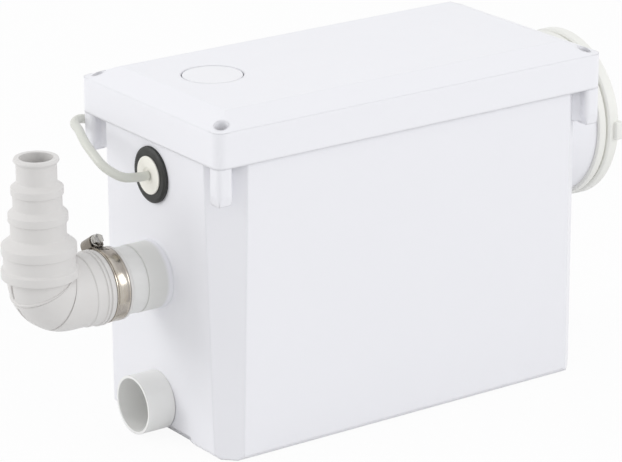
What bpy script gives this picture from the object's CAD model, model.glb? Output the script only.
"""Looks of the sewage lifting unit: mouldings, rubber elbow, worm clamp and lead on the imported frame."""

import logging
import math
from dataclasses import dataclass, field
from enum import Enum
from typing import Optional, Sequence

import bmesh
import bpy
from mathutils import Matrix, Vector


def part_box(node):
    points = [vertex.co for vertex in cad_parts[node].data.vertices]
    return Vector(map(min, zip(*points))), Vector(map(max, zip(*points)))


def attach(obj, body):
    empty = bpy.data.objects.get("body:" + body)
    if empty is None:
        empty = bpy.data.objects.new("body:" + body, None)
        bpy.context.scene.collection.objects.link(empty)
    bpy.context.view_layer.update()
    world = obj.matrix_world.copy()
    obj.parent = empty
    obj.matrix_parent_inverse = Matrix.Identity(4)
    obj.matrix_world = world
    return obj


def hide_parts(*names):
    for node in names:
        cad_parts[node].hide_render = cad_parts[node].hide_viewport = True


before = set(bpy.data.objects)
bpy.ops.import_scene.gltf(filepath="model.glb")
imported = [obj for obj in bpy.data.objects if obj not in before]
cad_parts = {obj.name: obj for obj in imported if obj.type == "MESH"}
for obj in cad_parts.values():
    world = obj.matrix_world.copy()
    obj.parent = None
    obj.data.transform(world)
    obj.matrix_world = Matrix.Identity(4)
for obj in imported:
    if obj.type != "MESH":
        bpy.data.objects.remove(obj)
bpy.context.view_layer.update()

MM = 0.001
log = logging.getLogger("lifting_unit")

Colour = tuple[float, float, float]
Corner = tuple[float, float, float]
Place = tuple[float, float, float]
Socket = bpy.types.NodeSocket
Node = bpy.types.Node
Piece = bpy.types.Object
Material = bpy.types.Material
Grid = bmesh.types.BMesh


class Lie(Enum):
    """How a turned piece lies: its axis, and the direction across it."""

    LEVEL = ((1.0, 0.0, 0.0), (0.0, 1.0, 0.0))
    UPRIGHT = ((0.0, 0.0, 1.0), (1.0, 0.0, 0.0))


def linear(red: int, green: int, blue: int) -> Colour:
    """Turn a colour seen on screen into the value a shader takes.

    Args:
        red: red share, 0 to 255.
        green: green share, 0 to 255.
        blue: blue share, 0 to 255.

    Returns:
        The three linear shares.
    """
    def one(value: int) -> float:
        """One share, linear."""
        share = value / 255
        return share / 12.92 if share <= 0.04045 else ((share + 0.055) / 1.055) ** 2.4

    return one(red), one(green), one(blue)


def shaded(colour: Colour, share: float) -> Colour:
    """The colour made darker or lighter by a share."""
    return tuple(min(value * share, 1.0) for value in colour)


# finishes


class ShaderBench:
    """A node material under way, with short ways to add and join its nodes."""

    def __init__(self, name: str) -> None:
        """Start an empty material.

        Args:
            name: name of the material.
        """
        self.material = bpy.data.materials.new(name)
        self.material.use_nodes = True
        self.tree = self.material.node_tree
        self.tree.nodes.clear()
        self.shader = self.add("ShaderNodeBsdfPrincipled")
        out = self.add("ShaderNodeOutputMaterial")
        self.join(self.shader.outputs["BSDF"], out.inputs["Surface"])
        self.place = self.add("ShaderNodeTexCoord").outputs["Object"]

    def add(self, kind: str, **settings: object) -> Node:
        """Add a node.

        Args:
            kind: the node's type.
            settings: its properties.

        Returns:
            The node.
        """
        node = self.tree.nodes.new(kind)
        for name, value in settings.items():
            setattr(node, name, value)
        return node

    def join(self, source: Socket, target: Socket) -> None:
        """Link one socket to another."""
        self.tree.links.new(source, target)

    def feed(self, name: str, source: Socket) -> None:
        """Link a socket to an input of the shader."""
        self.join(source, self.shader.inputs[name])

    def noise(self, scale: float, detail: float = 2.0, stretch: Optional[Place] = None) -> Socket:
        """Noise on the object's own coordinates.

        Args:
            scale: waves a metre.
            detail: how many finer layers it has.
            stretch: shares of the scale along the axes, if it isn't even.

        Returns:
            The noise's factor socket.
        """
        node = self.add("ShaderNodeTexNoise")
        node.inputs["Scale"].default_value = scale
        node.inputs["Detail"].default_value = detail
        if stretch is None:
            self.join(self.place, node.inputs["Vector"])
        else:
            mapping = self.add("ShaderNodeMapping")
            mapping.inputs["Scale"].default_value = stretch
            self.join(self.place, mapping.inputs["Vector"])
            self.join(mapping.outputs["Vector"], node.inputs["Vector"])
        return node.outputs["Fac"]

    def spread(self, source: Socket, low: float, high: float,
               span: tuple[float, float] = (0.3, 0.7)) -> Socket:
        """Map a factor to a range of values.

        Args:
            source: the factor.
            low: value at the lower end.
            high: value at the upper end.
            span: the factor's own lower and upper end.

        Returns:
            The mapped socket.
        """
        node = self.add("ShaderNodeMapRange")
        node.inputs["From Min"].default_value = span[0]
        node.inputs["From Max"].default_value = span[1]
        node.inputs["To Min"].default_value = low
        node.inputs["To Max"].default_value = high
        self.join(source, node.inputs["Value"])
        return node.outputs["Result"]

    def colours(self, factor: Socket, one: Colour, other: Colour) -> Socket:
        """Mix two colours by a factor and give the result's socket."""
        node = self.add("ShaderNodeMix", data_type="RGBA")
        node.inputs[6].default_value = (*one, 1.0)
        node.inputs[7].default_value = (*other, 1.0)
        self.join(factor, node.inputs[0])
        return node.outputs[2]

    def relief(self, height: Socket, depth: float, under: Optional[Socket] = None
               ) -> Socket:
        """Turn a height into a bump.

        Args:
            height: the height's socket.
            depth: how high it stands, in metres.
            under: the normal it lies on, if any.

        Returns:
            The normal's socket.
        """
        node = self.add("ShaderNodeBump")
        node.inputs["Distance"].default_value = depth
        self.join(height, node.inputs["Height"])
        if under is not None:
            self.join(under, node.inputs["Normal"])
        return node.outputs["Normal"]

    def soft_edges(self, radius: float) -> Socket:
        """The normal of edges rounded by a radius in metres."""
        node = self.add("ShaderNodeBevel", samples=8)
        node.inputs["Radius"].default_value = radius
        return node.outputs["Normal"]


@dataclass(frozen=True)
class Finish:
    """What every finish has: a name, a colour and its gloss."""

    name: str
    colour: Colour
    roughness: float = 0.45
    edge: float = 0.0

    def make(self) -> Material:
        """Build the material and give it."""
        bench = ShaderBench(self.name)
        self.dress(bench)
        log.info("finish %s", self.name)
        return bench.material

    def dress(self, bench: ShaderBench) -> None:
        """Add the finish's own nodes to the bench."""
        raise NotImplementedError

    def base(self, bench: ShaderBench) -> Optional[Socket]:
        """The rounded normal that the bumps lie on, where the finish has one."""
        return bench.soft_edges(self.edge) if self.edge > 0 else None


@dataclass(frozen=True)
class Moulding(Finish):
    """Injection moulded plastic: faint flow clouding, spark-eroded grain and a little sink."""

    cloud: float = 0.012
    cloud_scale: float = 9.0
    grain: float = 0.000012
    grain_scale: float = 1900.0
    sink: float = 0.00006
    sink_scale: float = 26.0
    sheen: float = 0.0
    stub_colour: Optional[Colour] = None
    stub_x: float = -0.1534
    stub_top: float = 0.15

    def stub_share(self, bench: ShaderBench) -> Socket:
        """One on the stub that stands out of the wall, nothing elsewhere."""
        parts = bench.add("ShaderNodeSeparateXYZ")
        bench.join(bench.place, parts.inputs[0])
        spans = {"X": (self.stub_x, self.stub_x - 0.003), "Z": (self.stub_top + 0.01, self.stub_top)}
        shares = [bench.spread(parts.outputs[axis], 0.0, 1.0, span) for axis, span in spans.items()]
        both = bench.add("ShaderNodeMath", operation="MULTIPLY")
        for index, share in enumerate(shares):
            bench.join(share, both.inputs[index])
        return both.outputs[0]

    def dress(self, bench: ShaderBench) -> None:
        """Colour clouds, gloss patches, sink waves and grain."""
        clouds = bench.noise(self.cloud_scale, 3.0)
        low, high = shaded(self.colour, 1 - self.cloud), shaded(self.colour, 1 + self.cloud)
        skin = bench.colours(clouds, low, high)
        if self.stub_colour is not None:
            node = bench.add("ShaderNodeMix", data_type="RGBA")
            bench.join(self.stub_share(bench), node.inputs[0])
            bench.join(skin, node.inputs[6])
            node.inputs[7].default_value = (*self.stub_colour, 1.0)
            skin = node.outputs[2]
        bench.feed("Base Color", skin)
        patches = bench.noise(70.0, 4.0)
        bench.feed("Roughness", bench.spread(patches, self.roughness - 0.04, self.roughness + 0.05))
        waves = bench.relief(bench.noise(self.sink_scale, 1.0), self.sink, self.base(bench))
        grain = bench.relief(bench.noise(self.grain_scale, 1.0), self.grain, waves)
        bench.feed("Normal", grain)
        if self.sheen > 0:
            bench.shader.inputs["Sheen Weight"].default_value = self.sheen
            bench.shader.inputs["Sheen Roughness"].default_value = 0.5


@dataclass(frozen=True)
class Rubber(Finish):
    """Moulded rubber: matt skin with fine pores and a dusty bloom on it."""

    bloom: float = 0.35
    pore_scale: float = 1400.0

    def dress(self, bench: ShaderBench) -> None:
        """Dusty patches over the skin's colour, pores in its relief."""
        dust = bench.spread(bench.noise(60.0, 5.0), 0.0, self.bloom)
        bench.feed("Base Color", bench.colours(dust, self.colour, shaded(self.colour, 1.9)))
        bench.feed("Roughness", bench.spread(bench.noise(140.0, 3.0), self.roughness - 0.05,
                                             self.roughness + 0.08))
        pores = bench.relief(bench.noise(self.pore_scale, 2.0), 0.00003, self.base(bench))
        bench.feed("Normal", pores)


@dataclass(frozen=True)
class DrawnMetal(Finish):
    """Rolled or drawn metal: fine lines along the direction in which it was worked."""

    line_scale: float = 60.0
    along: Place = (60.0, 1.5, 1.5)
    tarnish: Colour = (0.3, 0.25, 0.2)
    tarnish_share: float = 0.25
    line_depth: float = 0.000006

    def dress(self, bench: ShaderBench) -> None:
        """Lines in colour, gloss and relief, with a warm tarnish in patches."""
        lines = bench.noise(self.line_scale, 3.0, self.along)
        patches = bench.spread(bench.noise(90.0, 4.0), 0.0, self.tarnish_share)
        bright = bench.colours(lines, shaded(self.colour, 0.82), shaded(self.colour, 1.1))
        node = bench.add("ShaderNodeMix", data_type="RGBA")
        bench.join(patches, node.inputs[0])
        bench.join(bright, node.inputs[6])
        node.inputs[7].default_value = (*self.tarnish, 1.0)
        bench.feed("Base Color", node.outputs[2])
        bench.feed("Roughness", bench.spread(lines, self.roughness - 0.06, self.roughness + 0.1))
        bench.feed("Normal", bench.relief(lines, self.line_depth, self.base(bench)))
        bench.shader.inputs["Metallic"].default_value = 1.0


@dataclass(frozen=True)
class Casting(Finish):
    """Cast or painted metal: pitted skin, worn lighter where it is high."""

    pit_scale: float = 520.0
    metallic: float = 0.0

    def dress(self, bench: ShaderBench) -> None:
        """Mottled colour and a pitted relief."""
        bench.feed("Base Color", bench.colours(bench.noise(45.0, 5.0), shaded(self.colour, 0.8),
                                               shaded(self.colour, 1.2)))
        bench.feed("Roughness", bench.spread(bench.noise(180.0, 3.0), self.roughness - 0.08,
                                             self.roughness + 0.08))
        bench.feed("Normal", bench.relief(bench.noise(self.pit_scale, 3.0), 0.00012, self.base(bench)))
        bench.shader.inputs["Metallic"].default_value = self.metallic


@dataclass(frozen=True)
class Laminations(Finish):
    """Stacked sheet steel of the motor's core: thin level lines with varnish between them."""

    def dress(self, bench: ShaderBench) -> None:
        """Level lines of bright sheet and dark varnish."""
        wave = bench.add("ShaderNodeTexWave", wave_type="BANDS", bands_direction="Z")
        wave.inputs["Scale"].default_value = 320.0
        wave.inputs["Distortion"].default_value = 0.4
        bench.join(bench.place, wave.inputs["Vector"])
        bench.feed("Base Color", bench.colours(wave.outputs["Fac"], shaded(self.colour, 0.45), self.colour))
        bench.feed("Normal", bench.relief(wave.outputs["Fac"], 0.00006, self.base(bench)))
        bench.feed("Roughness", bench.spread(bench.noise(200.0), 0.35, 0.5))
        bench.shader.inputs["Metallic"].default_value = 0.8


@dataclass(frozen=True)
class Foam(Finish):
    """Open carbon foam of the air filter."""

    def dress(self, bench: ShaderBench) -> None:
        """Cells in colour and relief."""
        cells = bench.add("ShaderNodeTexVoronoi", feature="F1")
        cells.inputs["Scale"].default_value = 700.0
        bench.join(bench.place, cells.inputs["Vector"])
        bench.feed("Base Color", bench.colours(cells.outputs["Distance"], shaded(self.colour, 0.3),
                                               shaded(self.colour, 2.2)))
        bench.feed("Normal", bench.relief(cells.outputs["Distance"], 0.0006, self.base(bench)))
        bench.shader.inputs["Roughness"].default_value = self.roughness


class Paints:
    """Every finish of the unit, made once and handed out by name."""

    def __init__(self) -> None:
        """Mix all the finishes."""
        white = linear(236, 236, 240)
        self.shell = Moulding("satin_white_shell", white, 0.42, 0.0022, cloud=0.008,
                              stub_colour=linear(222, 222, 219)).make()
        self.lid = Moulding("satin_white_lid", linear(237, 237, 241), 0.38, 0.0026, cloud=0.006).make()
        self.cap = Moulding("satin_white_cap", linear(238, 238, 241), 0.4, cloud=0.006).make()
        self.spigot = Moulding("white_spigot", linear(226, 226, 224), 0.4, 0.0009, cloud=0.014).make()
        self.drain = Moulding("white_drain", linear(238, 238, 236), 0.4, 0.0007, cloud=0.014).make()
        self.soft_white = Moulding("white_soft_rubber", linear(216, 214, 212), 0.52, cloud=0.016,
                                   cloud_scale=24.0,
                                   grain=0.00002, sheen=0.15).make()
        self.sleeve = Moulding("pale_sleeve_rubber", linear(236, 236, 231), 0.5, cloud=0.016,
                               cloud_scale=18.0,
                               grain=0.00002, sheen=0.15).make()
        self.bush = Moulding("cream_bush", linear(245, 243, 234), 0.42, cloud=0.01).make()
        self.cord = Moulding("pale_cord_sheath", linear(212, 213, 205), 0.4, cloud=0.02, cloud_scale=40.0,
                             grain=0.000008).make()
        self.grommet = Rubber("black_grommet_rubber", linear(37, 38, 36), 0.5, 0.0, 0.12).make()
        self.gasket = Rubber("dark_gasket_rubber", linear(58, 58, 58), 0.6, 0.0006).make()
        self.flap = Rubber("black_flap_rubber", linear(40, 40, 42), 0.55, 0.0005).make()
        self.foam = Foam("carbon_foam", linear(38, 38, 40), 0.9).make()
        self.band = DrawnMetal("rolled_clamp_steel", linear(196, 190, 180), 0.2, along=(14.0, 0.5, 0.5),
                               tarnish=linear(120, 98, 78), tarnish_share=0.35).make()
        self.stamped = DrawnMetal("stamped_housing_steel", linear(150, 143, 134), 0.28, 0.0003,
                                  tarnish=linear(70, 60, 52), tarnish_share=0.5, along=(6.0, 6.0, 6.0)).make()
        self.screw_steel = DrawnMetal("turned_screw_steel", linear(200, 198, 194), 0.3, 0.0002,
                                      along=(4.0, 4.0, 30.0), tarnish=linear(120, 116, 110)).make()
        self.pin_steel = DrawnMetal("drawn_steel", linear(190, 190, 190), 0.25, along=(6.0, 6.0, 40.0)).make()
        self.brass = DrawnMetal("drawn_brass", linear(214, 184, 118), 0.24, along=(1.5, 40.0, 40.0),
                                tarnish=linear(140, 104, 50)).make()
        self.cast = Casting("cast_pump_metal", linear(150, 152, 155), 0.5, 0.0008, metallic=0.7).make()
        self.painted = Casting("painted_motor_metal", linear(74, 80, 88), 0.42, 0.0010).make()
        self.pump = Moulding("grey_pump_plastic", linear(150, 152, 154), 0.45, 0.0008, cloud=0.03).make()
        self.core = Laminations("core_laminations", linear(160, 162, 166), 0.4, 0.0004).make()
        self.electric = Moulding("dark_switch_plastic", linear(52, 54, 60), 0.4, 0.0004, cloud=0.03).make()
        self.can = Moulding("pale_capacitor_can", linear(205, 207, 210), 0.35, 0.0007, cloud=0.02).make()
        self.tray = Moulding("grey_tray_plastic", linear(186, 188, 190), 0.45, 0.0006, cloud=0.02).make()
        self.plug_skin = Moulding("pale_plug_plastic", linear(214, 214, 208), 0.4, cloud=0.015,
                                  grain=0.00002).make()
        self.slot_shadow = Casting("slot_shadow", linear(48, 44, 40), 0.6, metallic=0.3).make()


# shaping


@dataclass(frozen=True)
class Seat:
    """Where a turned or bent piece stands: a point in mm, its axis and a direction across it."""

    origin: Place
    along: Place = (1.0, 0.0, 0.0)
    across: Place = (0.0, 1.0, 0.0)

    def point(self, run: float, out: float, side: float) -> Vector:
        """A point in metres.

        Args:
            run: distance along the axis, mm.
            out: distance along the across direction, mm.
            side: distance along the third direction, mm.

        Returns:
            The point.
        """
        along, across = Vector(self.along), Vector(self.across)
        third = along.cross(across)
        return (Vector(self.origin) + along * run + across * out + third * side) * MM

    def matrix(self) -> Matrix:
        """The turn and place as a matrix, with the axis as Z and the across direction as X."""
        along, across = Vector(self.along), Vector(self.across)
        turn = Matrix((across, along.cross(across), along)).transposed()
        return Matrix.Translation(Vector(self.origin) * MM) @ turn.to_4x4()


def level_seat(y: float, z: float) -> Seat:
    """A seat whose axis lies along +X through a given y and z, with the x values kept."""
    return Seat((0.0, y, z), *Lie.LEVEL.value)


def upright_seat(x: float, y: float) -> Seat:
    """A seat whose axis stands upright, with the z values kept."""
    return Seat((x, y, 0.0), *Lie.UPRIGHT.value)


def rounded(corners: Sequence[Corner], arcs: int = 4, closed: bool = True) -> list[tuple[float, float]]:
    """Round the corners of an outline.

    Args:
        corners: distance along, radius and rounding of each corner, mm.
        arcs: steps in each rounded corner.
        closed: whether the outline closes on itself.

    Returns:
        The outline's points.
    """
    points: list[tuple[float, float]] = []
    count = len(corners)
    for index, (run, radius, soft) in enumerate(corners):
        ends = not closed and index in (0, count - 1)
        if soft <= 0 or ends:
            points.append((run, radius))
            continue
        here = Vector((run, radius))
        before = Vector(corners[index - 1][:2]) - here
        after = Vector(corners[(index + 1) % count][:2]) - here
        turn = before.angle(after)
        reach = min(soft / math.tan(turn / 2), 0.46 * before.length, 0.46 * after.length)
        start, end = here + before.normalized() * reach, here + after.normalized() * reach
        for step in range(arcs + 1):
            share = step / arcs
            spot = (1 - share) ** 2 * start + 2 * share * (1 - share) * here + share ** 2 * end
            points.append((spot.x, spot.y))
    return points


def turned(mesh: Grid, outline: Sequence[tuple[float, float]], seat: Seat, steps: int = 96,
           closed: bool = True, first: float = 0.0, sweep: float = math.tau) -> None:
    """Turn an outline round a seat's axis into a skin.

    Args:
        mesh: the mesh it is added to.
        outline: distance along and radius of each point, mm.
        seat: where it stands.
        steps: steps round the axis.
        closed: whether the outline closes on itself.
        first: angle at which it starts.
        sweep: angle it goes through, a full turn or less.
    """
    whole = abs(sweep - math.tau) < 1e-6
    count = steps if whole else steps + 1
    rings: list[list[bmesh.types.BMVert]] = []
    for run, radius in outline:
        if radius < 1e-5:
            rings.append([mesh.verts.new(seat.point(run, 0, 0))])
            continue
        angles = [first + sweep * step / steps for step in range(count)]
        rings.append([mesh.verts.new(seat.point(run, radius * math.cos(a), radius * math.sin(a)))
                      for a in angles])
    pairs = list(zip(rings, rings[1:] + rings[:1])) if closed else list(zip(rings, rings[1:]))
    for one, other in pairs:
        for step in range(steps):
            ahead = (step + 1) % count
            if len(one) == 1 and len(other) == 1:
                continue
            if len(one) == 1:
                mesh.faces.new((one[0], other[ahead], other[step]))
            elif len(other) == 1:
                mesh.faces.new((one[step], one[ahead], other[0]))
            else:
                mesh.faces.new((one[step], one[ahead], other[ahead], other[step]))
    if not whole:
        for end in (0, count - 1):
            mesh.faces.new([ring[end] for ring in rings])


def block(mesh: Grid, seat: Seat, sizes: Place, at: Place = (0.0, 0.0, 0.0), soft: float = 0.0) -> None:
    """A block with softened edges.

    Args:
        mesh: the mesh it is added to.
        seat: its axes.
        sizes: its size along the axis, across and to the side, mm.
        at: its middle on the seat, mm.
        soft: how far the edges are rounded, mm.
    """
    added = bmesh.ops.create_cube(mesh, size=1.0)["verts"]
    for vert in added:
        run, out, side = (at[i] + vert.co[i] * sizes[i] for i in range(3))
        vert.co = seat.point(run, out, side)
    if soft > 0:
        edges = list({edge for vert in added for edge in vert.link_edges})
        bmesh.ops.bevel(mesh, geom=edges, offset=soft * MM, segments=3, affect="EDGES", profile=0.5)


def finished(name: str, mesh: Grid, finish: Material, sharp: float = 38.0
             ) -> Piece:
    """Close a mesh, point its faces outwards and make it an object.

    Args:
        name: the object's name.
        mesh: the mesh, freed here.
        finish: its material.
        sharp: angle in degrees past which an edge stays sharp.

    Returns:
        The object.
    """
    bmesh.ops.remove_doubles(mesh, verts=mesh.verts, dist=1e-6)
    bmesh.ops.recalc_face_normals(mesh, faces=mesh.faces)
    data = bpy.data.meshes.new(name)
    mesh.to_mesh(data)
    mesh.free()
    data.materials.append(finish)
    piece = bpy.data.objects.new(name, data)
    bpy.context.scene.collection.objects.link(piece)
    data.shade_smooth()
    data.set_sharp_from_angle(angle=math.radians(sharp))
    return piece


def cut_away(piece: Piece, cutter: Piece) -> Piece:
    """Take a cutter's space out of a piece, and the cutter away."""
    change = piece.modifiers.new("cut", "BOOLEAN")
    change.operation = "DIFFERENCE"
    change.solver = "EXACT"
    change.object = cutter
    bpy.context.view_layer.update()
    graph = bpy.context.evaluated_depsgraph_get()
    data = bpy.data.meshes.new_from_object(piece.evaluated_get(graph), depsgraph=graph)
    piece.modifiers.clear()
    old, piece.data = piece.data, data
    bpy.data.meshes.remove(old)
    bpy.data.objects.remove(cutter)
    return piece


class GrowTree:
    """A geometry node tree with named inputs, ending in Realize Instances and Set Material."""

    def __init__(self, name: str) -> None:
        """Start the tree with its geometry sockets.

        Args:
            name: the tree's name.
        """
        self.tree = bpy.data.node_groups.new(name, "GeometryNodeTree")
        self.tree.interface.new_socket("Geometry", in_out="INPUT", socket_type="NodeSocketGeometry")
        self.tree.interface.new_socket("Finish", in_out="INPUT", socket_type="NodeSocketMaterial")
        self.tree.interface.new_socket("Geometry", in_out="OUTPUT", socket_type="NodeSocketGeometry")
        self.source: Optional[Node] = None

    def size(self, name: str, kind: str, value: object = None) -> None:
        """Add a named input with its first value."""
        socket = self.tree.interface.new_socket(name, in_out="INPUT", socket_type=kind)
        if value is not None:
            socket.default_value = value

    def given(self, name: str) -> Socket:
        """The socket inside the tree that carries an input."""
        if self.source is None:
            self.source = self.tree.nodes.new("NodeGroupInput")
        return self.source.outputs[name]

    def add(self, kind: str, **settings: object) -> Node:
        """Add a node with its properties."""
        node = self.tree.nodes.new(kind)
        for name, value in settings.items():
            setattr(node, name, value)
        return node

    def join(self, source: Socket, target: Socket) -> None:
        """Link one socket to another."""
        self.tree.links.new(source, target)

    def sums(self, kind: str, one: object, other: object = None) -> Socket:
        """One step of arithmetic on sockets or numbers.

        Args:
            kind: the operation.
            one: a socket or a number.
            other: a second one, where the operation takes it.

        Returns:
            The result's socket.
        """
        node = self.add("ShaderNodeMath", operation=kind)
        for index, value in enumerate((one, other)):
            if isinstance(value, Socket):
                self.join(value, node.inputs[index])
            elif value is not None:
                node.inputs[index].default_value = value
        return node.outputs[0]

    def close(self, geometry: Socket) -> None:
        """Realize what grew, give it its finish and join it to the output."""
        real = self.add("GeometryNodeRealizeInstances")
        paint = self.add("GeometryNodeSetMaterial")
        sink = self.add("NodeGroupOutput")
        self.join(geometry, real.inputs[0])
        self.join(real.outputs[0], paint.inputs["Geometry"])
        self.join(self.given("Finish"), paint.inputs["Material"])
        self.join(paint.outputs[0], sink.inputs[0])

    def grow(self, name: str, data: bpy.types.Mesh, finish: Material, sharp: float = 38.0,
             **sizes: object) -> Piece:
        """Run the tree on a mesh and keep the result as a plain mesh object.

        Args:
            name: name of the new object.
            data: the mesh it starts from.
            finish: its material.
            sharp: angle in degrees past which an edge stays sharp.
            sizes: values of the named inputs, with _ for a space.

        Returns:
            The new object.
        """
        host = bpy.data.objects.new(name + "_seed", data)
        bpy.context.scene.collection.objects.link(host)
        change = host.modifiers.new("grow", "NODES")
        change.node_group = self.tree
        values = {key.replace("_", " "): value for key, value in sizes.items()}
        values["Finish"] = finish
        for item in self.tree.interface.items_tree:
            if item.in_out == "INPUT" and item.name in values:
                change[item.identifier] = values[item.name]
        graph = bpy.context.evaluated_depsgraph_get()
        grown = bpy.data.meshes.new_from_object(host.evaluated_get(graph), depsgraph=graph)
        host.modifiers.clear()
        bpy.data.objects.remove(host)
        grown.name = name
        piece = bpy.data.objects.new(name, grown)
        bpy.context.scene.collection.objects.link(piece)
        grown.shade_smooth()
        grown.set_sharp_from_angle(angle=math.radians(sharp))
        return piece


def sheath_tree() -> GrowTree:
    """A round sheath that follows a line of points, with closed ends.

    Returns:
        The tree, with inputs Radius and Sides.
    """
    grow = GrowTree("sheath_along_line")
    grow.size("Radius", "NodeSocketFloat", 0.003)
    grow.size("Sides", "NodeSocketInt", 16)
    line = grow.add("GeometryNodeMeshToCurve")
    ring = grow.add("GeometryNodeCurvePrimitiveCircle")
    skin = grow.add("GeometryNodeCurveToMesh")
    grow.join(grow.given("Geometry"), line.inputs["Mesh"])
    grow.join(grow.given("Radius"), ring.inputs["Radius"])
    grow.join(grow.given("Sides"), ring.inputs["Resolution"])
    grow.join(line.outputs[0], skin.inputs["Curve"])
    grow.join(ring.outputs[0], skin.inputs["Profile Curve"])
    skin.inputs["Fill Caps"].default_value = True
    grow.close(skin.outputs[0])
    return grow


def grid_tree() -> GrowTree:
    """Copies of a pattern on the four corners of a rectangle.

    Returns:
        The tree, with inputs Pattern, Length, Depth and Centre.
    """
    grow = GrowTree("copies_on_corners")
    grow.size("Pattern", "NodeSocketObject")
    grow.size("Length", "NodeSocketFloat", 0.2)
    grow.size("Depth", "NodeSocketFloat", 0.1)
    grow.size("Centre", "NodeSocketVector", (0.0, 0.0, 0.0))
    grid = grow.add("GeometryNodeMeshGrid")
    grid.inputs["Vertices X"].default_value = 2
    grid.inputs["Vertices Y"].default_value = 2
    grow.join(grow.given("Length"), grid.inputs["Size X"])
    grow.join(grow.given("Depth"), grid.inputs["Size Y"])
    item = grow.add("GeometryNodeObjectInfo")
    grow.join(grow.given("Pattern"), item.inputs["Object"])
    copies = grow.add("GeometryNodeInstanceOnPoints")
    grow.join(grid.outputs["Mesh"], copies.inputs["Points"])
    grow.join(item.outputs["Geometry"], copies.inputs["Instance"])
    turn = grow.add("FunctionNodeRandomValue", data_type="FLOAT")
    turn.inputs["Seed"].default_value = 5
    turn.inputs[2].default_value = 0.0
    turn.inputs[3].default_value = 1.2
    spin = grow.add("ShaderNodeCombineXYZ")
    grow.join(turn.outputs[1], spin.inputs["Z"])
    grow.join(spin.outputs[0], copies.inputs["Rotation"])
    place = grow.add("GeometryNodeTransform")
    grow.join(copies.outputs[0], place.inputs["Geometry"])
    grow.join(grow.given("Centre"), place.inputs["Translation"])
    grow.close(place.outputs[0])
    return grow


def arc_tree() -> GrowTree:
    """Copies of a pattern along an arc round an axis that lies along X.

    Returns:
        The tree, with inputs Pattern, Count, Start, Step and Centre.
    """
    grow = GrowTree("copies_round_arc")
    grow.size("Pattern", "NodeSocketObject")
    grow.size("Count", "NodeSocketInt", 8)
    grow.size("Start", "NodeSocketFloat", 0.0)
    grow.size("Step", "NodeSocketFloat", 0.2)
    grow.size("Centre", "NodeSocketVector", (0.0, 0.0, 0.0))
    points = grow.add("GeometryNodePoints")
    grow.join(grow.given("Count"), points.inputs["Count"])
    index = grow.add("GeometryNodeInputIndex").outputs[0]
    angle = grow.sums("ADD", grow.given("Start"), grow.sums("MULTIPLY", index, grow.given("Step")))
    spin = grow.add("ShaderNodeCombineXYZ")
    grow.join(angle, spin.inputs["X"])
    item = grow.add("GeometryNodeObjectInfo")
    grow.join(grow.given("Pattern"), item.inputs["Object"])
    copies = grow.add("GeometryNodeInstanceOnPoints")
    grow.join(points.outputs[0], copies.inputs["Points"])
    grow.join(item.outputs["Geometry"], copies.inputs["Instance"])
    grow.join(spin.outputs[0], copies.inputs["Rotation"])
    place = grow.add("GeometryNodeTransform")
    grow.join(copies.outputs[0], place.inputs["Geometry"])
    grow.join(grow.given("Centre"), place.inputs["Translation"])
    grow.close(place.outputs[0])
    return grow


# camera and studio


@dataclass
class PhotoCamera:
    """The camera at the photograph's place."""

    place: Place = (-1.2814, -1.7725, 0.8660)
    yaw: float = 35.27
    pitch: float = 19.05
    roll: float = -0.27
    lens: float = 196.3
    width: float = 36.0

    def build(self) -> Piece:
        """Make the camera and point it.

        Returns:
            The camera.
        """
        yaw, pitch, roll = (math.radians(angle) for angle in (self.yaw, self.pitch, self.roll))
        ahead = Vector((math.sin(yaw) * math.cos(pitch), math.cos(yaw) * math.cos(pitch), -math.sin(pitch)))
        right = Vector((math.cos(yaw), -math.sin(yaw), 0.0))
        up = right.cross(ahead)
        right, up = (right * math.cos(roll) + up * math.sin(roll),
                     up * math.cos(roll) - right * math.sin(roll))
        turn = Matrix((right, up, -ahead)).transposed().to_4x4()
        data = bpy.data.cameras.new("photo_camera")
        data.lens, data.sensor_width, data.sensor_fit = self.lens, self.width, "HORIZONTAL"
        data.clip_start, data.clip_end = 0.05, 40.0
        camera = bpy.data.objects.new("photo_camera", data)
        camera.matrix_world = Matrix.Translation(Vector(self.place)) @ turn
        bpy.context.scene.collection.objects.link(camera)
        bpy.context.scene.camera = camera
        return camera


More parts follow.
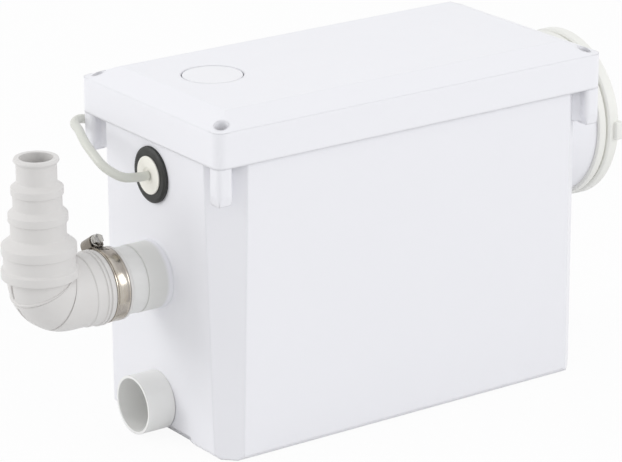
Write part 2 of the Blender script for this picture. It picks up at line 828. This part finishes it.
@dataclass
class Studio:
    """Plain pale floor, an even sky and three large soft lamps."""

    sky: float = 0.82
    floor_size: float = 12.0
    floor_glow: float = 0.93

    def sky_nodes(self) -> None:
        """An even sky that the camera and reflections see as white."""
        world = bpy.data.worlds.new("studio_sky")
        world.use_nodes = True
        bpy.context.scene.world = world
        tree = world.node_tree
        tree.nodes.clear()
        out = tree.nodes.new("ShaderNodeOutputWorld")
        light, seen = tree.nodes.new("ShaderNodeBackground"), tree.nodes.new("ShaderNodeBackground")
        light.inputs["Color"].default_value = (0.985, 0.99, 1.0, 1.0)
        light.inputs["Strength"].default_value = self.sky
        seen.inputs["Color"].default_value = (1.0, 1.0, 1.0, 1.0)
        seen.inputs["Strength"].default_value = 1.0
        mix = tree.nodes.new("ShaderNodeMixShader")
        tree.links.new(self.seen_rays(tree), mix.inputs[0])
        tree.links.new(light.outputs[0], mix.inputs[1])
        tree.links.new(seen.outputs[0], mix.inputs[2])
        tree.links.new(mix.outputs[0], out.inputs["Surface"])

    def seen_rays(self, tree: bpy.types.NodeTree) -> Socket:
        """One for rays of the camera, of reflections and through glass, else nothing."""
        path = tree.nodes.new("ShaderNodeLightPath")
        first, second = tree.nodes.new("ShaderNodeMath"), tree.nodes.new("ShaderNodeMath")
        first.operation = second.operation = "MAXIMUM"
        tree.links.new(path.outputs["Is Camera Ray"], first.inputs[0])
        tree.links.new(path.outputs["Is Glossy Ray"], first.inputs[1])
        tree.links.new(first.outputs[0], second.inputs[0])
        tree.links.new(path.outputs["Is Transmission Ray"], second.inputs[1])
        return second.outputs[0]

    def floor(self) -> None:
        """A wide pale floor that keeps a faint shadow."""
        mesh = bmesh.new()
        half = self.floor_size / 2
        corners = [mesh.verts.new((x * half, y * half, -0.0004))
                   for x, y in ((-1, -1), (1, -1), (1, 1), (-1, 1))]
        mesh.faces.new(corners)
        bench = ShaderBench("pale_floor")
        tint = bench.noise(3.0, 4.0)
        bench.feed("Base Color", bench.colours(tint, (0.80, 0.80, 0.80), (0.84, 0.84, 0.84)))
        bench.shader.inputs["Roughness"].default_value = 0.9
        bench.shader.inputs["Specular IOR Level"].default_value = 0.1
        glow = bench.add("ShaderNodeEmission")
        share = bench.add("ShaderNodeMath", operation="MULTIPLY")
        share.inputs[1].default_value = self.floor_glow
        bench.join(self.seen_rays(bench.tree), share.inputs[0])
        mix = bench.add("ShaderNodeMixShader")
        out = next(node for node in bench.tree.nodes if node.type == "OUTPUT_MATERIAL")
        bench.join(share.outputs[0], mix.inputs[0])
        bench.join(bench.shader.outputs[0], mix.inputs[1])
        bench.join(glow.outputs[0], mix.inputs[2])
        bench.join(mix.outputs[0], out.inputs["Surface"])
        piece = finished("studio_floor", mesh, bench.material)

    def lamp(self, name: str, place: Place, watts: float, size: float) -> None:
        """A soft square lamp that points at the unit.

        Args:
            name: its name.
            place: where it hangs, metres.
            watts: its power.
            size: its side, metres.
        """
        data = bpy.data.lights.new(name, "AREA")
        data.energy, data.size = watts, size
        lamp = bpy.data.objects.new(name, data)
        lamp.location = place
        ahead = (Vector((0.0, 0.0, 0.1)) - Vector(place)).normalized()
        lamp.rotation_euler = ahead.to_track_quat("-Z", "Y").to_euler()
        bpy.context.scene.collection.objects.link(lamp)

    def build(self) -> None:
        """Make sky, floor and lamps."""
        self.sky_nodes()
        self.floor()
        self.lamp("left_softbox", (-2.4, 1.4, 1.3), 25.0, 1.6)
        self.lamp("front_softbox", (1.5, -2.6, 1.5), 25.0, 1.6)
        self.lamp("top_softbox", (0.2, 0.5, 2.8), 1.5, 2.0)


# sub-assemblies


@dataclass
class SubAssembly:
    """A group of pieces on one body of the frame."""

    paints: Paints
    body: str

    def keep(self, *nodes: str, finish: Material) -> None:
        """Keep CAD nodes as they are and give them a finish.

        Args:
            nodes: their names.
            finish: the material.
        """
        for name in nodes:
            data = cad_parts[name].data
            data.materials.clear()
            data.materials.append(finish)
            for face in data.polygons:
                face.material_index = 0
            log.info("%s keeps its solid", name)

    def stand_in(self, piece: Piece, slot: str, *nodes: str, body: Optional[str] = None) -> None:
        """Let a piece ride on the body and stand for CAD nodes.

        Args:
            piece: the piece.
            slot: the record's material slot.
            nodes: the CAD nodes it stands for.
            body: its body, where it isn't the group's own.
        """
        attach(piece, body or self.body)
        if nodes:
            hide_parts(*nodes)
        log.info("%s: %d faces on %s", piece.name, len(piece.data.polygons), body or self.body)


@dataclass
class Housing(SubAssembly):
    """Tank, lid with its screws, and the vent cap."""

    screw_x: float = 147.9
    screw_y: float = 72.5
    screw_z: float = 225.0
    head_r: float = 4.2
    head_h: float = 2.4
    cap_x: float = -99.5
    cap_y: float = 9.8
    cap_r: float = 20.1
    cap_t: float = 2.4
    cap_top: float = 237.0

    def screws(self) -> None:
        """Four cross-headed screws grown on the corners of a rectangle."""
        seat = upright_seat(0.0, 0.0)
        mesh = bmesh.new()
        outline = rounded([(-22, 0, 0), (-22, 1.2, 0.3), (-19, 1.95, 0.3), (0, 1.95, 0),
                           (0, self.head_r, 0.3),
                           (1.1, self.head_r, 0.5), (self.head_h, 0.0, 1.2)], closed=False)
        turned(mesh, outline, seat, 32, closed=False)
        pattern = finished("screw_pattern", mesh, self.paints.screw_steel)
        for turn in (0, 1):
            mesh = bmesh.new()
            sizes = (2.4, 5.0, 0.95) if turn == 0 else (2.4, 0.95, 5.0)
            block(mesh, seat, sizes, (self.head_h - 0.2, 0.0, 0.0))
            pattern = cut_away(pattern, finished("cross", mesh, self.paints.screw_steel))
        grown = grid_tree().grow("lid_screw_set", bpy.data.meshes.new("seed"), self.paints.screw_steel,
                                 Pattern=pattern, Length=2 * self.screw_x * MM, Depth=2 * self.screw_y * MM,
                                 Centre=(0.0, 0.0, self.screw_z * MM))
        bpy.data.objects.remove(pattern)
        self.stand_in(grown, "screw", "lid_screws")

    def vent(self) -> None:
        """The round cap that lies level with the lid, its rim softened."""
        mesh = bmesh.new()
        top, low = self.cap_top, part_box("vent_cap")[0].z / MM
        under = top - self.cap_t
        outline = rounded([(top, 0, 0), (top, self.cap_r, 0.7), (low, self.cap_r, 0.3),
                           (low, self.cap_r - 1.5, 0.3), (under, self.cap_r - 1.5, 0.5), (under, 0, 0)],
                          closed=False)
        turned(mesh, outline, upright_seat(self.cap_x, self.cap_y), 96, closed=False)
        self.stand_in(finished("vent_cap_disc", mesh, self.paints.cap), "lid", "vent_cap", body="vent_lid")

    def build(self) -> None:
        """Dress the box and make its small pieces."""
        self.keep("tank", finish=self.paints.shell)
        self.keep("lid", finish=self.paints.lid)
        self.keep("lid_seal", finish=self.paints.gasket)
        self.keep("vent_filter", finish=self.paints.foam)
        self.screws()
        self.vent()


@dataclass
class CableEntry(SubAssembly):
    """Black rubber grommet with the cream bush in it."""

    y: float = 2.6
    z: float = 180.0
    wall_x: float = -152.506
    grommet_t: float = 2.6
    grommet_r: float = 19.1
    bush_t: float = 1.0
    bush_r: float = 12.8
    cord_r: float = 3.1

    def build(self) -> None:
        """Make the grommet and the bush."""
        seat = level_seat(self.y, self.z)
        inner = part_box("grommet")[1].x / MM
        out = self.wall_x - self.grommet_t
        mesh = bmesh.new()
        shank = (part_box("gland_bush")[1].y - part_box("gland_bush")[0].y) / MM / 2
        core = min(shank - 1.0, 9.6)
        turned(mesh, rounded([(self.wall_x, self.grommet_r, 0.25), (out + 0.9, self.grommet_r - 0.2, 0.7),
                              (out, self.grommet_r - 2.2, 0.6), (out, core, 0.2), (inner, core, 0.2),
                              (inner, 14.9, 0.3), (self.wall_x, 14.9, 0.0)]), seat, 96)
        self.stand_in(finished("grommet_ring", mesh, self.paints.grommet), "grommet", "grommet")
        mesh = bmesh.new()
        face = out - self.bush_t
        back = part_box("gland_bush")[1].x / MM
        turned(mesh, rounded([(out, self.bush_r, 0.2), (face, self.bush_r, 0.9), (face, 5.6, 0.4),
                              (face + 0.7, 4.6, 0.4), (face + 0.7, self.cord_r + 0.02, 0.1),
                              (back, self.cord_r + 0.02, 0.1), (back, core - 0.1, 0.2), (out, core - 0.1,
                                                                                         0.0)]),
               seat, 80)
        self.stand_in(finished("cable_bush", mesh, self.paints.bush), "bush", "gland_bush")


def bent_profile(stations: Sequence[tuple[float, float]], step: float = 1.5) -> list[Corner]:
    """Fill in stations of a bend so that it runs round smoothly.

    Args:
        stations: angle in degrees and radius in mm of each given station.
        step: greatest angle between two stations.

    Returns:
        Angle, run past the bend and radius of each station.
    """
    filled: list[Corner] = []
    for (turn, radius), (later, other) in zip(stations, stations[1:]):
        parts = max(1, math.ceil((later - turn) / step))
        for part in range(parts):
            share = part / parts
            filled.append((turn + (later - turn) * share, 0.0, radius + (other - radius) * share))
    return filled + [(stations[-1][0], 0.0, stations[-1][1])]


@dataclass
class OutletElbow(SubAssembly):
    """The white rubber elbow: cuff, three mitred lengths and the stepped nozzle."""

    y: float = 4.0
    z: float = 111.0
    nozzle_x: float = -238.7
    tip_z: float = 207.8
    bend_r: float = 17.5
    side_r: float = 23.6
    mid_r: float = 22.4
    up_r: float = 21.4
    bore_r: float = 17.0
    cuff_x: float = -182.4
    cuff_end: float = -210.4
    stations: tuple[tuple[float, float], ...] = (
        (0.0, 21.4), (6.0, 21.4), (20.0, 21.7), (23.0, 21.8), (23.5, 22.5), (25.3, 22.5), (25.8, 21.7),
        (26.6, 21.7), (27.1, 22.2), (34.0, 22.4), (45.0, 22.8), (60.0, 23.1), (65.8, 23.3), (66.3, 22.3),
        (68.0, 22.3), (68.5, 23.4), (76.0, 23.6), (90.0, 23.6))
    slits: tuple[tuple[float, float], ...] = ((5.0, 19.0), (31.0, 60.0))
    slit_w: float = 2.6
    slit_h: float = 1.8
    necks: tuple[float, ...] = (13.2, 16.0, 18.2, 23.3)
    beads: tuple[float, ...] = (15.0, 17.1, 19.5, 24.5, 25.0)
    neck_drops: tuple[float, ...] = (16.3, 33.5, 52.8, 73.3)
    bead_drops: tuple[float, ...] = (19.3, 37.0, 58.1, 74.5)
    foot_drops: tuple[float, ...] = (24.2, 42.3, 64.3, 80.3)
    bores: tuple[float, ...] = (11.0, 13.0, 15.0, 17.0)

    def nozzle(self, mesh: Grid) -> None:
        """The nozzle's wall: lip, necks and beads outside, stepped bore inside."""
        top = self.tip_z
        outside: list[Corner] = [(top, 12.2, 0.4), (top, self.beads[0] - 0.7, 0.7),
                                 (top - 1.9, self.beads[0], 0.8), (top - 3.8, self.necks[0], 0.8)]
        for step in range(4):
            outside.append((top - self.neck_drops[step], self.necks[step], 1.6))
            outside.append((top - self.bead_drops[step], self.beads[step + 1], 1.0))
            outside.append((top - self.foot_drops[step], self.beads[step + 1], 0.9))
            if step < 3:
                outside.append((top - self.foot_drops[step], self.necks[step + 1], 0.5))
        foot = top - self.foot_drops[3]
        outside.append((foot, self.up_r, 0.5))
        outside.append((foot - 1.0, self.up_r - 0.4, 0.0))
        inside: list[Corner] = [(foot - 1.0, self.bores[3], 0.0), (top - 51.0, self.bores[3], 3.0),
                                (top - 46.0, self.bores[2], 3.0), (top - 32.0, self.bores[2], 3.0),
                                (top - 27.0, self.bores[1], 3.0), (top - 18.0, self.bores[1], 3.0),
                                (top - 13.0, self.bores[0], 2.0), (top, self.bores[0], 0.6)]
        turned(mesh, rounded(outside + inside, 5), upright_seat(self.nozzle_x, self.y), 96)

    def cuff(self, mesh: Grid) -> None:
        """The cuff's wall: lip, clamp seat and two ribs outside, socket inside."""
        lip, end = self.cuff_x, self.cuff_end
        seat_end = lip - 2.2 - 11.0
        outside: list[Corner] = [(lip, 20.6, 0.3), (lip, 24.6, 0.6), (lip - 2.2, 24.6, 0.5),
                                 (lip - 2.2, 23.8, 0.2),
                                 (seat_end, 23.8, 0.2), (seat_end, 24.5, 0.5)]
        for step in (1, 2):
            middle = seat_end - step * 2.8
            outside += [(middle + 0.9, 24.2, 0.3), (middle + 0.6, 25.2, 0.4), (middle - 0.6, 25.2, 0.4),
                        (middle - 0.9, 24.2, 0.3)]
        outside += [(end + 1.2, 24.3, 0.3), (end + 0.6, 23.5, 0.3), (end, self.side_r, 0.0)]
        inside: list[Corner] = [(end, self.bore_r, 0.0), (-205.9, self.bore_r, 0.4), (-205.9, 20.6, 0.4)]
        turned(mesh, rounded(outside + inside, 4), level_seat(self.y, self.z), 120)

    def bend(self, mesh: Grid) -> None:
        """The bend's wall, swept from the nozzle to the cuff, with its ridge, groove and two slits."""
        centre = Vector((self.nozzle_x + self.bend_r, self.y, self.z + self.bend_r))
        half = self.slit_w / 2 / self.mid_r
        marks = sorted({round(math.tau * k / 96, 6) for k in range(96)} | {half * 0.96, half * 1.04,
                       math.tau - half * 0.96, math.tau - half * 1.04})
        swept = bent_profile(self.stations)
        reach = self.cuff_end - centre.x
        swept.append((90.0, reach, self.side_r))
        rings = []
        for turn, run, radius in swept:
            angle = math.radians(turn)
            out = Vector((-math.cos(angle), 0.0, -math.sin(angle)))
            middle = centre + Vector((run, 0.0, 0.0))
            cut = any(low <= turn <= high for low, high in self.slits)
            ring = []
            for wall in (radius, self.bore_r):
                for phi in marks:
                    slit = cut and wall == radius and (phi < half or phi > math.tau - half)
                    kept = wall - (self.slit_h if slit else 0.0)
                    if 0.0 < turn < 90.0 and self.bend_r + kept * math.cos(phi) < 0.3:
                        kept = (self.bend_r - 0.3) / abs(math.cos(phi))
                        kept -= 0.0 if wall == radius else 0.05
                    spot = middle + out * (self.bend_r + kept * math.cos(phi))
                    ring.append(mesh.verts.new((spot + Vector((0.0, kept * math.sin(phi), 0.0))) * MM))
            rings.append((ring[:len(marks)], ring[len(marks):]))
        count = len(marks)
        for (one, one_in), (other, other_in) in zip(rings, rings[1:]):
            for k in range(count):
                ahead = (k + 1) % count
                mesh.faces.new((one[k], one[ahead], other[ahead], other[k]))
                mesh.faces.new((one_in[k], other_in[k], other_in[ahead], one_in[ahead]))
        for outer, inner in (rings[0], rings[-1]):
            for k in range(count):
                ahead = (k + 1) % count
                mesh.faces.new((outer[k], inner[k], inner[ahead], outer[ahead]))

    def build(self) -> None:
        """Make the elbow of its walls."""
        mesh = bmesh.new()
        self.nozzle(mesh)
        self.cuff(mesh)
        self.bend(mesh)
        self.stand_in(finished("rubber_elbow", mesh, self.paints.soft_white), "elbow", "elbow")


@dataclass
class WormClamp(SubAssembly):
    """The steel band, its stamped housing and the worm screw."""

    x: float = -190.1
    y: float = 4.0
    z: float = 111.0
    band_r: float = 23.85
    band_t: float = 0.75
    band_w: float = 10.0
    angle: float = 58.0
    axis_r: float = 28.8
    housing_l: float = 13.0
    worm_r: float = 2.6
    head_r: float = 4.0
    head_l: float = 5.0

    def seat(self) -> Seat:
        """The worm's seat: its axis towards the head, and away from the band."""
        turn = math.radians(self.angle)
        out = (0.0, math.cos(turn), math.sin(turn))
        return Seat((self.x, self.y + self.axis_r * out[1], self.z + self.axis_r * out[2]),
                    (0.0, -out[2], out[1]), out)

    def band(self) -> None:
        """The rolled band with its turned-up edges and its overlapping tail, and the slots in it."""
        seat = level_seat(self.y, self.z)
        half = self.band_w / 2
        low, high = self.band_r, self.band_r + self.band_t
        outline = rounded([(self.x - half, low, 0.1), (self.x + half, low, 0.1),
                           (self.x + half, high + 0.1, 0.25),
                           (self.x + half - 0.9, high + 0.1, 0.3), (self.x + half - 1.3, high - 0.1, 0.3),
                           (self.x - half + 1.3, high - 0.1, 0.3), (self.x - half + 0.9, high + 0.1, 0.3),
                           (self.x - half, high + 0.1, 0.25)], 3)
        mesh = bmesh.new()
        turned(mesh, outline, seat, 144)
        tail = half - 1.2
        outline = rounded([(self.x - tail, high - 0.15, 0.0), (self.x + tail, high - 0.15, 0.0),
                           (self.x + tail, high + 0.45, 0.15), (self.x - tail, high + 0.45, 0.15)], 2)
        turned(mesh, outline, seat, 72, first=math.radians(20), sweep=math.radians(172))
        self.stand_in(finished("clamp_band_steel", mesh, self.paints.band), "clamp", "clamp_band")
        mesh = bmesh.new()
        slot_seat = Seat((0.0, high + 0.42, 0.0), (0.94, 0.0, 0.342), (0.0, 1.0, 0.0))
        block(mesh, slot_seat, (5.6, 0.12, 0.95), soft=0.04)
        pattern = finished("slot_pattern", mesh, self.paints.slot_shadow)
        grown = arc_tree().grow("clamp_band_slots", bpy.data.meshes.new("seed"), self.paints.slot_shadow,
                                Pattern=pattern, Count=5, Start=math.radians(73), Step=math.radians(5.2),
                                Centre=(self.x * MM, self.y * MM, self.z * MM))
        bpy.data.objects.remove(pattern)
        self.stand_in(grown, "clamp")

    def housing(self) -> None:
        """The stamped arch over the worm, on a saddle that sits on the band."""
        seat = self.seat()
        half_l = self.housing_l / 2
        mesh = bmesh.new()
        outer, wall, foot = 4.9, 0.8, -3.7
        arch = [(foot, outer), (0.0, outer)] + [(outer * math.sin(math.radians(a)) * 0.86,
                                                 outer * math.cos(math.radians(a))) for a in range(15, 180,
                                                                                                   15)]
        arch += [(0.0, -outer), (foot, -outer)]
        inner_r = outer - wall
        inner = [(foot, -inner_r), (0.0, -inner_r)] + [(inner_r * math.sin(math.radians(a)) * 0.84,
                                                        -inner_r * math.cos(math.radians(a)))
                                                       for a in range(15, 180, 15)]
        inner += [(0.0, inner_r), (foot, inner_r)]
        outline = arch + inner
        ends = [[mesh.verts.new(seat.point(run, out, side)) for out, side in outline]
                for run in (-half_l, half_l)]
        count = len(outline)
        for index in range(count):
            ahead = (index + 1) % count
            mesh.faces.new((ends[0][index], ends[0][ahead], ends[1][ahead], ends[1][index]))
        for index in range(count // 2 - 1):
            for ring in ends:
                mesh.faces.new((ring[index], ring[index + 1], ring[count - 2 - index],
                                ring[count - 1 - index]))
        edges = [edge for edge in mesh.edges if edge.is_manifold and edge.calc_face_angle(0.0) > 0.9]
        bmesh.ops.bevel(mesh, geom=edges, offset=0.18 * MM, segments=2, affect="EDGES", profile=0.5)
        block(mesh, seat, (self.housing_l - 1.0, 0.9, 9.8), (0.0, foot - 0.1, 0.0), 0.2)
        self.stand_in(finished("clamp_housing_arch", mesh, self.paints.stamped), "clamp", "clamp_housing")

    def worm(self) -> None:
        """The worm screw: thread, collar and slotted six-sided head."""
        seat = self.seat()
        half_l = self.housing_l / 2
        head = half_l + 0.3
        mesh = bmesh.new()
        low = head + self.head_l - 22.0 - self.head_l / 2 + 2.5
        outline: list[Corner] = [(low, 0.0, 0.0), (low, self.worm_r - 0.6, 0.2)]
        run = low + 0.5
        while run < head - 1.6:
            outline += [(run, self.worm_r - 0.75, 0.1), (run + 0.45, self.worm_r, 0.15),
                        (run + 0.85, self.worm_r, 0.15)]
            run += 1.5
        outline += [(head - 0.2, self.worm_r - 0.5, 0.0), (head, 3.9, 0.2), (head + 0.9, 3.95, 0.3),
                    (head + 1.1, 3.4, 0.2)]
        outline += [(head + 1.2, 0.0, 0.0)]
        turned(mesh, rounded(outline, 2, closed=False), seat, 40, closed=False)
        spots = [(math.cos(math.radians(60 * k)), math.sin(math.radians(60 * k))) for k in range(6)]
        rings = []
        for run, radius in ((head + 1.0, self.head_r * 0.93), (head + self.head_l - 0.5, self.head_r * 0.93),
                            (head + self.head_l, self.head_r * 0.80)):
            rings.append([mesh.verts.new(seat.point(run, radius * c, radius * s)) for c, s in spots])
        for one, other in zip(rings, rings[1:]):
            for k in range(6):
                mesh.faces.new((one[k], one[(k + 1) % 6], other[(k + 1) % 6], other[k]))
        mesh.faces.new(rings[0])
        mesh.faces.new(rings[-1])
        piece = finished("worm_screw_turned", mesh, self.paints.screw_steel, 30.0)
        mesh = bmesh.new()
        block(mesh, seat, (2.2, 12.0, 1.1), (head + self.head_l - 0.2, 0.0, 0.0))
        piece = cut_away(piece, finished("slot", mesh, self.paints.screw_steel))
        self.stand_in(piece, "worm", "clamp_screw", body="worm_screw")

    def build(self) -> None:
        """Make band, housing and screw."""
        self.band()
        self.housing()
        self.worm()


@dataclass
class ToiletInlet(SubAssembly):
    """The pale rubber sleeve that takes the toilet's spigot."""

    z: float = 162.5
    start: float = 176.5
    flange_r: float = 58.5
    groove_r: float = 55.5
    ring_r: float = 59.5
    bore_r: float = 49.5

    def build(self) -> None:
        """Make the sleeve with its flange, groove, ring and pull tab."""
        low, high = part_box("inlet_sleeve")
        inner, end = low.x / MM, high.x / MM
        flange, groove = self.start + 6.0, self.start + 7.4
        mesh = bmesh.new()
        outline = rounded([
            (inner, 52.2, 0.4), (self.start, 52.2, 0.3), (self.start, self.flange_r - 0.4, 0.6),
            (flange - 1.4, self.flange_r, 0.8), (flange, self.flange_r - 0.8, 0.9), (flange, self.groove_r,
                                                                                     0.4),
            (groove, self.groove_r, 0.4), (groove, self.ring_r - 1.6, 0.8), (groove + 1.2,
                                                                             self.ring_r - 0.2, 1.0),
            (end - 3.4, self.ring_r, 1.4), (end, self.ring_r - 3.2, 1.6), (end, self.bore_r + 2.2, 1.2),
            (end - 1.6, self.bore_r, 1.0), (self.start + 2.4, self.bore_r, 0.5), (self.start + 2.4, 50.6,
                                                                                  0.5),
            (inner, 50.6, 0.4)], 4)
        turned(mesh, outline, level_seat(0.0, self.z), 160)
        seat = Seat((end - 3.5, -self.ring_r, self.z), *Lie.LEVEL.value)
        block(mesh, seat, (6.6, 5.6, 12.6), (0.0, 0.0, 0.0), 1.1)
        self.stand_in(finished("toilet_sleeve", mesh, self.paints.sleeve), "sleeve", "inlet_sleeve")


@dataclass
class Spigots(SubAssembly):
    """Discharge spigot and drain spigot with their check flaps."""

    def build(self) -> None:
        """Dress the spigots, the flaps and their pins."""
        self.keep("valve_body", finish=self.paints.spigot)
        self.keep("drain_spigot", finish=self.paints.drain)
        self.keep("outlet_flap", "drain_flap", finish=self.paints.flap)
        self.keep("outlet_flap_pin", "drain_flap_pin", finish=self.paints.pin_steel)


@dataclass
class InsideParts(SubAssembly):
    """Pump, motor and level control inside the tank."""

    def build(self) -> None:
        """Dress every solid inside the tank."""
        paints = self.paints
        self.keep("inner_lead", finish=paints.cord)
        self.keep("terminal_block", "chamber_cover", finish=paints.can)
        self.keep("capacitor", finish=paints.can)
        self.keep("control_tray", "level_chamber", finish=paints.tray)
        self.keep("membrane", "shaft_seal", finish=paints.gasket)
        self.keep("microswitch", "switch_plunger", finish=paints.electric)
        self.keep("pump_casing", "casing_cover", "inner_pipe", finish=paints.pump)
        self.keep("seal_plate", "impeller", finish=paints.cast)
        self.keep("cutter_basket", "cutter", "lower_bearing", "upper_bearing", "shaft", "motor_screws",
                  finish=paints.pin_steel)
        self.keep("motor_housing", "motor_cap", finish=paints.painted)
        self.keep("stator", "rotor_core", finish=paints.core)


@dataclass
class SupplyLead(SubAssembly):
    """The supply lead: out of the bush, round behind the tank, into a coil, and its plug."""

    radius: float = 3.1
    bush_x: float = -156.106
    entry_y: float = 2.6
    entry_z: float = 180.0
    centre: tuple[float, float] = (-20.0, 152.0)
    r_out: float = 43.0
    r_in: float = 25.5
    layer: float = 6.9
    turns: float = 2.5
    climb: float = 0.25
    rest_z: float = 3.2
    plug_at: tuple[float, float] = (72.0, 192.0)
    plug_z: float = 19.1
    run: list[Place] = field(default_factory=list)

    def hand_points(self) -> list[Place]:
        """The points of the run from the bush to the coil, mm."""
        d = 2 * self.radius
        x, y = self.centre
        return [(self.bush_x, self.entry_y, self.entry_z), (self.bush_x - 8, self.entry_y, 180.3),
                (-175, 4, 182.2), (-182, 13, 187.6), (-182.9, 25, 193.3), (-180.5, 40, 198), (-174, 57, 200),
                (-166, 76, 199.3), (-151, 90, 196), (-134, 95, 187), (-120, 93.5, 172), (-111, 91, 150),
                (-107, 90, 120), (-106, 90, 85), (-106, 91, 52), (-103, 94, 26), (-92, 101, 9),
                (-74, 106, self.rest_z + 0.6), (-56, 109, self.rest_z),
                (x - 3 * d, y - self.r_out, self.rest_z), (x - d, y - self.r_out, self.rest_z)]

    def tail_points(self) -> list[Place]:
        """The points from the coil to the plug, mm."""
        d = 2 * self.radius
        x, y = self.centre
        high = self.rest_z + self.layer
        return [(x + self.r_out, y + d, high), (x + self.r_out, y + 2 * d, high), (26, 176, 12),
                (34, 187, 15.5),
                (50, 191.6, 18.6), (self.plug_at[0] - d, self.plug_at[1], self.plug_z),
                (self.plug_at[0], self.plug_at[1], self.plug_z)]

    @staticmethod
    def smooth(points: Sequence[Place], steps: int) -> list[Vector]:
        """A smooth curve through hand-chosen points.

        Args:
            points: the points, mm.
            steps: stations between two of them.

        Returns:
            The curve's stations, mm.
        """
        given = [Vector(point) for point in points]
        last = len(given) - 1
        curve: list[Vector] = []
        for i in range(last):
            a, b, c, d = given[max(i - 1, 0)], given[i], given[i + 1], given[min(i + 2, last)]
            for k in range(steps):
                t = k / steps
                curve.append((2 * b + (c - a) * t + (2 * a - 5 * b + 4 * c - d) * t * t
                              + (3 * b - a - 3 * c + d) * t ** 3) / 2)
        return curve + [given[last]]

    def coil_points(self) -> list[Vector]:
        """The coil's stations, inwards on the floor, up a layer and outwards again."""
        total = 2 * self.turns + self.climb
        rings = round(total * 24)
        points = []
        for index in range(rings + 1):
            t = total * index / rings
            if t < self.turns:
                radius = self.r_out - (self.r_out - self.r_in) * t / self.turns
            elif t < self.turns + self.climb:
                radius = self.r_in
            else:
                radius = self.r_in + (self.r_out - self.r_in) * (t - self.turns - self.climb) / self.turns
            share = min(max((t - self.turns) / self.climb, 0.0), 1.0)
            height = self.rest_z + self.layer * share * share * (3 - 2 * share)
            angle = math.radians(-90 + 360 * t)
            points.append(Vector((self.centre[0] + radius * math.cos(angle),
                                  self.centre[1] + radius * math.sin(angle), height)))
        return points

    def path(self) -> list[Vector]:
        """The whole route from the bush to the plug, metres."""
        route = self.smooth(self.hand_points(), 4) + self.coil_points() + self.smooth(self.tail_points(), 4)
        clean = [route[0]]
        for point in route[1:]:
            if (point - clean[-1]).length > 0.6:
                clean.append(point)
        return [point * MM for point in clean]

    def plug(self) -> Piece:
        """The moulded plug body with its ribbed strain relief.

        Returns:
            The plug.
        """
        seat = Seat((self.plug_at[0], self.plug_at[1], self.plug_z), *Lie.LEVEL.value)
        outline: list[Corner] = [(0.0, 3.15, 0.0), (0.0, 4.4, 0.4)]
        for step in range(4):
            at = 1.6 + 3.0 * step
            big = 5.0 + 1.2 * step
            outline += [(at, big, 0.4), (at + 1.6, big + 0.5, 0.4), (at + 1.7, big - 0.7, 0.2),
                        (at + 2.8, big - 0.3, 0.2)]
        outline += [(15.0, 10.6, 1.0), (24.0, 15.2, 5.0), (33.0, 18.6, 3.0), (43.7, 18.6, 1.4),
                    (43.7, 16.0, 0.8),
                    (42.6, 15.6, 0.4), (42.6, 0.0, 0.0)]
        mesh = bmesh.new()
        turned(mesh, rounded(outline, 4, closed=False), seat, 64, closed=False)
        piece = finished("plug_moulding", mesh, self.paints.plug_skin)
        self.stand_in(piece, "plug", "plug_body")
        return piece

    def build(self) -> None:
        path = self.path()
        data = bpy.data.meshes.new("lead_line")
        data.from_pydata([tuple(point) for point in path], [(i, i + 1) for i in range(len(path) - 1)], [])
        sheath = sheath_tree().grow("supply_lead", data, self.paints.cord, 60.0,
                                    Radius=self.radius * MM, Sides=14)
        self.stand_in(sheath, "cord", "cord_run", "cord_coil", "cord_tail")
        plug = self.plug()
        self.keep("plug_pins", finish=self.paints.brass)


def main() -> None:
    """Build camera, lead, studio and every sub-assembly in order."""
    logging.basicConfig(level=logging.INFO, format="%(name)s: %(message)s")
    bpy.context.scene.view_settings.view_transform = "Standard"
    PhotoCamera().build()
    paints = Paints()
    groups: list[SubAssembly] = [
        SupplyLead(paints, "unit"), Housing(paints, "unit"), CableEntry(paints, "unit"),
        OutletElbow(paints, "discharge_elbow"), WormClamp(paints, "discharge_elbow"),
        ToiletInlet(paints, "unit"), Spigots(paints, "unit"), InsideParts(paints, "unit")]
    for group in groups:
        group.build()
    Studio().build()


if __name__ == "__main__":
    main()
